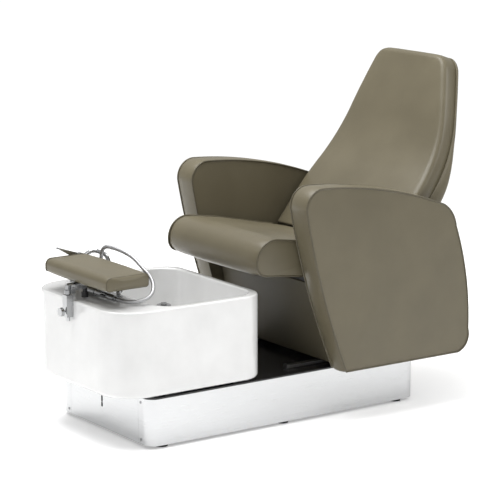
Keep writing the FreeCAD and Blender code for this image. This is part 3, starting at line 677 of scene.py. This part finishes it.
def eased(profile, place):
    """A profile's value with its corners eased: the mean of a few places nearby."""
    steps = (-40, -20, 0, 20, 40)
    return sum(profile(place + step) for step in steps) / len(steps)


TOP_DEPTH, LOWER_DEPTH = 66, 110


def shell_depth(along):
    """How far behind the front face the rear is: thick behind the lower stretch, thin at the top."""
    bend_length = BEND_RADIUS * BEND
    share = (LOWER_LENGTH + bend_length - along) / bend_length
    return TOP_DEPTH + (LOWER_DEPTH - TOP_DEPTH) * min(1, max(0, share)) ** 1.2


def rounding(distance, radius):
    """How far a rounded edge has fallen away, at a distance from its end."""
    if distance >= radius:
        return 0.0
    return radius - math.sqrt(max(0.0, radius ** 2 - (radius - distance) ** 2))


TOP_CORNER = 40
BACK_ROWS, BACK_COLUMNS = 90, 40


def back_layer(name, low, near, deep_at, edge_front, edge_rear, crown, nodes, inset=0):
    """One layer of the back: a curved panel with rounded edges, between two depths behind the front face."""
    rows = []
    for row in range(BACK_ROWS + 1):
        along = low + (BACK_LENGTH - low) * (0.5 - 0.5 * math.cos(math.pi * row / BACK_ROWS))
        to_top, to_low = BACK_LENGTH - along, along - low
        deep = deep_at(along)
        z = back_place(along, near)[1]
        half = eased(half_outline, z) - inset - rounding(to_top, TOP_CORNER) - rounding(to_low, 3)
        front = near + rounding(to_top, edge_front) + rounding(to_low, min(edge_front, 6))
        rear = deep - rounding(to_top, edge_rear) - rounding(to_low, min(edge_rear, 8))
        loop = []
        for k in range(BACK_COLUMNS + 1):
            share = -math.cos(math.pi * k / BACK_COLUMNS)
            x = half * share
            fall = rounding(half - abs(x), edge_front)
            depth = min(front + fall * 0.9 + crown * share ** 4, (near + deep) / 2)
            loop.append((x, depth))
        for k in range(BACK_COLUMNS + 1):
            share = math.cos(math.pi * k / BACK_COLUMNS)
            x = half * share
            fall = rounding(half - abs(x), edge_rear)
            depth = max(rear - fall * 0.9, (near + deep) / 2 + 0.5)
            loop.append((x, depth))
        ring = []
        for x, depth in loop:
            y, z = back_place(along, depth)
            ring.append(at(x, y, z))
        rows.append(ring)
    obj = rings_mesh(name, rows)
    soften(obj, 7, 19, 0.8)
    return finish_piece(obj, "backrest", "leather", nodes)


CUSHION_DEPTH, LAYER_GAP = 56.0, 0.2
SHELL_START = 146
back_layer("Back_cushion", 0, 0, lambda along: CUSHION_DEPTH, 17, 1.5, 6, ["back_cushion", "back_board"])
back_layer("Back_shell", SHELL_START, CUSHION_DEPTH + LAYER_GAP, lambda along: eased(shell_depth, along),
           1.5, 16, 0, ["back_shell"], inset=0.5)

PIVOT = (840, 430)


def round_pivot(radius, degrees):
    """Y and Z of a point at a radius and an angle about the pivot."""
    angle = math.radians(degrees)
    return PIVOT[0] + radius * math.cos(angle), PIVOT[1] + radius * math.sin(angle)


# The lower cover is an arc about the recline pivot, in degrees and in millimetres.
COVER_LOW, COVER_MIDDLE, COVER_HIGH = -4, 24, 52.3
COVER_OUTER, COVER_INNER, COVER_HALF = 190, 180, 268
cover_corners = [round_pivot(COVER_OUTER, COVER_LOW), round_pivot(COVER_OUTER, COVER_HIGH),
                 round_pivot(COVER_INNER, COVER_HIGH), round_pivot(COVER_INNER, COVER_LOW)]
cover_bulges = {0: round_pivot(COVER_OUTER, COVER_MIDDLE), 2: round_pivot(COVER_INNER, COVER_MIDDLE)}
cover_outline = outline_points(cover_corners, cover_bulges, 8)
upholstered("Back_lower_cover", cover_outline, -COVER_HALF, COVER_HALF, "backrest", ["back_lower_cover"],
            seam_dip=0.5, softness=0.4, **COVERED_BOARD)

# ---------------------------------------------------------------- floor and light


FLOOR_HALF = 2.8
FLOOR_GLOW = 0.34


def make_floor():
    """A pale floor that glows a little, so that it meets the white of the studio without an edge."""
    corners = [(x * FLOOR_HALF, y * FLOOR_HALF, 0) for x, y in ((-1, -1), (1, -1), (1, 1), (-1, 1))]
    floor = mesh_object("Floor", corners, [(0, 1, 2, 3)])
    n = Nodes("pale_floor")
    n.set(Base_Color=(0.93, 0.93, 0.93, 1), Roughness=0.6, Specular_IOR_Level=0.1,
          Emission_Color=(1, 1, 1, 1), Emission_Strength=FLOOR_GLOW)
    floor.data.materials.append(n.material)


def area_light(name, place, target, size, power):
    """A square light that faces a point."""
    data = bpy.data.lights.new(name, "AREA")
    data.shape = "RECTANGLE"
    data.size = size
    data.size_y = size
    data.energy = power
    light = bpy.data.objects.new(name, data)
    bpy.context.scene.collection.objects.link(light)
    light.location = place
    light.rotation_euler = (Vector(target) - Vector(place)).to_track_quat("-Z", "Y").to_euler()


# Each is a view direction's Z at the start and end of a ramp, then the brightness at each.
SKY_LIMITS = (0.0, 0.8, 0.32, 0.70)
GROUND_LIMITS = (-0.06, -0.02, 1.05, 0.0)


def make_world():
    """A white studio: full white below the horizon, dimmer at the sides and bright overhead."""
    world = bpy.data.worlds.new("Studio")
    bpy.context.scene.world = world
    world.use_nodes = True
    tree = world.node_tree
    background = tree.nodes["Background"]
    background.inputs["Color"].default_value = (1, 1, 1, 1)
    place = tree.nodes.new("ShaderNodeTexCoord")
    split = tree.nodes.new("ShaderNodeSeparateXYZ")
    above = tree.nodes.new("ShaderNodeMapRange")
    below = tree.nodes.new("ShaderNodeMapRange")
    for node, limits in ((above, SKY_LIMITS), (below, GROUND_LIMITS)):
        set_range(node, *limits)
        tree.links.new(split.outputs["Z"], node.inputs["Value"])
    brighter = tree.nodes.new("ShaderNodeMath")
    brighter.operation = "MAXIMUM"
    tree.links.new(place.outputs["Generated"], split.inputs[0])
    tree.links.new(above.outputs["Result"], brighter.inputs[0])
    tree.links.new(below.outputs["Result"], brighter.inputs[1])
    tree.links.new(brighter.outputs["Value"], background.inputs["Strength"])


make_floor()
make_world()
area_light("Key", (2.6, -4.0, 3.0), (0, 0, 0.5), 2.0, 20)
area_light("Back", (3.0, 2.6, 2.6), (0, 0.2, 0.7), 1.4, 45)
area_light("Top", (-0.3, -0.5, 3.2), (0, 0, 0.3), 2.4, 118)

bpy.context.scene.view_settings.view_transform = "Standard"
